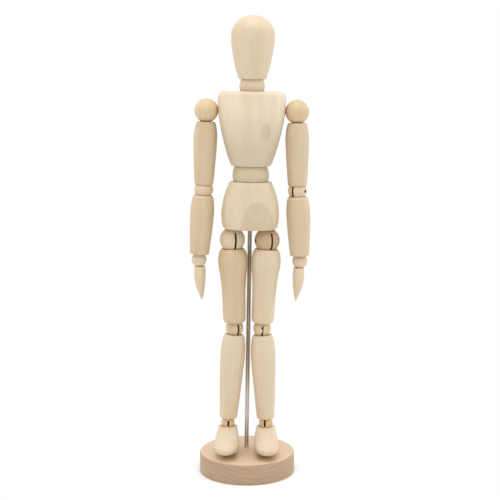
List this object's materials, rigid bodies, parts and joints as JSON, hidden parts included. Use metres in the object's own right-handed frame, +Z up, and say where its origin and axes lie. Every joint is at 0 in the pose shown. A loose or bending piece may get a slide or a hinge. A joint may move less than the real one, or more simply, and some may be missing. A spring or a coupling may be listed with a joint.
{
  "type": "artist mannequin",
  "caption": "Jointed wooden human figure with slotted ball joints, held on a thin steel rod over a round wooden base, for posing and figure drawing.",
  "frame": {"origin": "centre of the base's underside", "axes": "+Z up, the figure faces -Y, its left hand is towards +X"},
  "size_m": [0.0777, 0.063, 0.2998],
  "materials": {
    "limb_wood": "satin",
    "ball_wood": "satin",
    "base_wood": "satin",
    "rod_steel": "polished",
    "spring_steel": "bright drawn"
  },
  "bodies": {
    "stand": {"base": "base_wood", "support_rod": "rod_steel"},
    "pelvis": {"pelvis": "limb_wood", "left_hip_spring": "spring_steel", "right_hip_spring": "spring_steel", "waist_spring": "spring_steel"},
    "waist": {"waist": "ball_wood"},
    "chest": {"chest": "limb_wood", "chest_spring": "spring_steel", "neck_spring": "spring_steel"},
    "neck": {"neck": "ball_wood"},
    "head": {"head": "limb_wood"},
    "left_hip_ball": {"left_hip_ball": "ball_wood", "left_hip_pin": "spring_steel"},
    "left_thigh": {"left_thigh": "limb_wood", "left_thigh_spring": "spring_steel"},
    "left_knee_ball": {"left_knee_ball": "ball_wood", "left_knee_pin": "spring_steel"},
    "left_calf": {"left_calf": "limb_wood", "left_calf_spring": "spring_steel"},
    "left_ankle_ball": {"left_ankle_ball": "ball_wood", "left_ankle_pin": "spring_steel"},
    "left_foot": {"left_foot": "limb_wood"},
    "left_shoulder_ball": {"left_shoulder_ball": "ball_wood", "left_shoulder_pin": "spring_steel"},
    "left_upper_arm": {"left_upper_arm": "limb_wood", "left_upper_arm_spring": "spring_steel"},
    "left_elbow_ball": {"left_elbow_ball": "ball_wood", "left_elbow_pin": "spring_steel"},
    "left_forearm": {"left_forearm": "limb_wood", "left_forearm_spring": "spring_steel"},
    "left_wrist_ball": {"left_wrist_ball": "ball_wood", "left_wrist_pin": "spring_steel"},
    "left_hand": {"left_hand": "limb_wood"},
    "right_hip_ball": {"right_hip_ball": "ball_wood", "right_hip_pin": "spring_steel"},
    "right_thigh": {"right_thigh": "limb_wood", "right_thigh_spring": "spring_steel"},
    "right_knee_ball": {"right_knee_ball": "ball_wood", "right_knee_pin": "spring_steel"},
    "right_calf": {"right_calf": "limb_wood", "right_calf_spring": "spring_steel"},
    "right_ankle_ball": {"right_ankle_ball": "ball_wood", "right_ankle_pin": "spring_steel"},
    "right_foot": {"right_foot": "limb_wood"},
    "right_shoulder_ball": {"right_shoulder_ball": "ball_wood", "right_shoulder_pin": "spring_steel"},
    "right_upper_arm": {"right_upper_arm": "limb_wood", "right_upper_arm_spring": "spring_steel"},
    "right_elbow_ball": {"right_elbow_ball": "ball_wood", "right_elbow_pin": "spring_steel"},
    "right_forearm": {"right_forearm": "limb_wood", "right_forearm_spring": "spring_steel"},
    "right_wrist_ball": {"right_wrist_ball": "ball_wood", "right_wrist_pin": "spring_steel"},
    "right_hand": {"right_hand": "limb_wood"}
  },
  "joints": [
    {"name": "figure_turn", "type": "hinge", "parent": "stand", "child": "pelvis", "pos_m": [-0.0004, 0.0055, 0.014], "axis": [0.0157, 0, 0.9999], "continuous": true},
    {"name": "waist_bend", "type": "hinge", "parent": "pelvis", "child": "waist", "pos_m": [0.0025, -0.0035, 0.19843], "axis": [0.9999, 0, -0.0157], "range_deg": [-25, 25], "deforming": ["waist_spring"]},
    {"name": "chest_turn", "type": "hinge", "parent": "waist", "child": "chest", "pos_m": [0.0025, -0.0035, 0.19843], "axis": [0.0157, 0, 0.9999], "range_deg": [-45, 45], "deforming": ["waist_spring"]},
    {"name": "neck_bend", "type": "hinge", "parent": "chest", "child": "neck", "pos_m": [0.00339, -0.0035, 0.25513], "axis": [0.9999, 0, -0.0157], "range_deg": [-25, 25], "deforming": ["neck_spring"]},
    {"name": "head_turn", "type": "hinge", "parent": "neck", "child": "head", "pos_m": [0.00339, -0.0035, 0.25513], "axis": [0.0157, 0, 0.9999], "range_deg": [-80, 80], "deforming": ["neck_spring"]},
    {"name": "left_hip_turn", "type": "hinge", "parent": "pelvis", "child": "left_hip_ball", "pos_m": [0.01308, -0.0035, 0.15606], "axis": [0.0157, 0, 0.9999], "range_deg": [-25, 25], "deforming": ["left_hip_spring"]},
    {"name": "left_thigh_swing", "type": "hinge", "parent": "left_hip_ball", "child": "left_thigh", "pos_m": [0.01308, -0.0035, 0.15606], "axis": [-0.9134, -0.4067, 0.0143], "range_deg": [-3, 65]},
    {"name": "left_knee_turn", "type": "hinge", "parent": "left_thigh", "child": "left_knee_ball", "pos_m": [0.00992, -0.0035, 0.09765], "axis": [0.0541, 0, 0.9985], "range_deg": [-25, 25], "deforming": ["left_thigh_spring"]},
    {"name": "left_calf_swing", "type": "hinge", "parent": "left_knee_ball", "child": "left_calf", "pos_m": [0.00992, -0.0035, 0.09765], "axis": [0.9979, 0.0349, -0.054], "range_deg": [-10, 62]},
    {"name": "left_ankle_swing", "type": "hinge", "parent": "left_calf", "child": "left_ankle_ball", "pos_m": [0.01249, -0.0035, 0.0336], "axis": [0.9847, -0.1736, -0.0155], "range_deg": [-5, 5]},
    {"name": "left_foot_turn", "type": "hinge", "parent": "left_ankle_ball", "child": "left_foot", "pos_m": [0.01249, -0.0035, 0.0336], "axis": [0.0157, 0, 0.9999], "range_deg": [-30, 30]},
    {"name": "left_shoulder_turn", "type": "hinge", "parent": "chest", "child": "left_shoulder_ball", "pos_m": [0.03213, -0.0035, 0.23877], "axis": [-0.9999, 0, 0.0157], "range_deg": [-60, 150], "deforming": ["chest_spring"]},
    {"name": "left_upper_arm_swing", "type": "hinge", "parent": "left_shoulder_ball", "child": "left_upper_arm", "pos_m": [0.03213, -0.0035, 0.23877], "axis": [0, -1, 0], "range_deg": [-3, 90]},
    {"name": "left_elbow_turn", "type": "hinge", "parent": "left_upper_arm", "child": "left_elbow_ball", "pos_m": [0.03258, -0.0035, 0.18818], "axis": [-0.0087, 0, 1], "range_deg": [-60, 60], "deforming": ["left_upper_arm_spring"]},
    {"name": "left_forearm_swing", "type": "hinge", "parent": "left_elbow_ball", "child": "left_forearm", "pos_m": [0.03258, -0.0035, 0.18818], "axis": [-0.829, 0.5592, -0.0072], "range_deg": [-55, 36]},
    {"name": "left_wrist_swing", "type": "hinge", "parent": "left_forearm", "child": "left_wrist_ball", "pos_m": [0.03442, -0.0035, 0.14231], "axis": [0, -1, 0], "range_deg": [-20, 60]},
    {"name": "left_hand_turn", "type": "hinge", "parent": "left_wrist_ball", "child": "left_hand", "pos_m": [0.03442, -0.0035, 0.14231], "axis": [0.0157, 0, 0.9999], "range_deg": [-90, 90]},
    {"name": "right_hip_turn", "type": "hinge", "parent": "pelvis", "child": "right_hip_ball", "pos_m": [-0.00941, -0.0035, 0.15642], "axis": [0.0157, 0, 0.9999], "range_deg": [-25, 25], "deforming": ["right_hip_spring"]},
    {"name": "right_thigh_swing", "type": "hinge", "parent": "right_hip_ball", "child": "right_thigh", "pos_m": [-0.00941, -0.0035, 0.15642], "axis": [0.9562, 0.2924, -0.015], "range_deg": [-65, 40]},
    {"name": "right_knee_turn", "type": "hinge", "parent": "right_thigh", "child": "right_knee_ball", "pos_m": [-0.00809, -0.0035, 0.09793], "axis": [-0.0227, 0, 0.9997], "range_deg": [-25, 25], "deforming": ["right_thigh_spring"]},
    {"name": "right_calf_swing", "type": "hinge", "parent": "right_knee_ball", "child": "right_calf", "pos_m": [-0.00809, -0.0035, 0.09793], "axis": [-0.8827, -0.4695, -0.02], "range_deg": [-62, 10]},
    {"name": "right_ankle_swing", "type": "hinge", "parent": "right_calf", "child": "right_ankle_ball", "pos_m": [-0.01267, -0.0035, 0.03399], "axis": [-0.9961, -0.0872, 0.0156], "range_deg": [-5, 5]},
    {"name": "right_foot_turn", "type": "hinge", "parent": "right_ankle_ball", "child": "right_foot", "pos_m": [-0.01267, -0.0035, 0.03399], "axis": [0.0157, 0, 0.9999], "range_deg": [-30, 30]},
    {"name": "right_shoulder_turn", "type": "hinge", "parent": "chest", "child": "right_shoulder_ball", "pos_m": [-0.02586, -0.0035, 0.23969], "axis": [0.9999, 0, -0.0157], "range_deg": [-150, 60], "deforming": ["chest_spring"]},
    {"name": "right_upper_arm_swing", "type": "hinge", "parent": "right_shoulder_ball", "child": "right_upper_arm", "pos_m": [-0.02586, -0.0035, 0.23969], "axis": [0, 1, 0], "range_deg": [-3, 90]},
    {"name": "right_elbow_turn", "type": "hinge", "parent": "right_upper_arm", "child": "right_elbow_ball", "pos_m": [-0.02789, -0.0035, 0.18912], "axis": [0.0401, 0, 0.9992], "range_deg": [-90, 60], "deforming": ["right_upper_arm_spring"]},
    {"name": "right_forearm_swing", "type": "hinge", "parent": "right_elbow_ball", "child": "right_forearm", "pos_m": [-0.02789, -0.0035, 0.18912], "axis": [-0.0871, -0.9962, 0.0035], "range_deg": [-55, 7]},
    {"name": "right_wrist_swing", "type": "hinge", "parent": "right_forearm", "child": "right_wrist_ball", "pos_m": [-0.03117, -0.0035, 0.14334], "axis": [0, 1, 0], "range_deg": [-20, 60]},
    {"name": "right_hand_turn", "type": "hinge", "parent": "right_wrist_ball", "child": "right_hand", "pos_m": [-0.03117, -0.0035, 0.14334], "axis": [0.0157, 0, 0.9999], "range_deg": [-90, 90]}
  ]
}
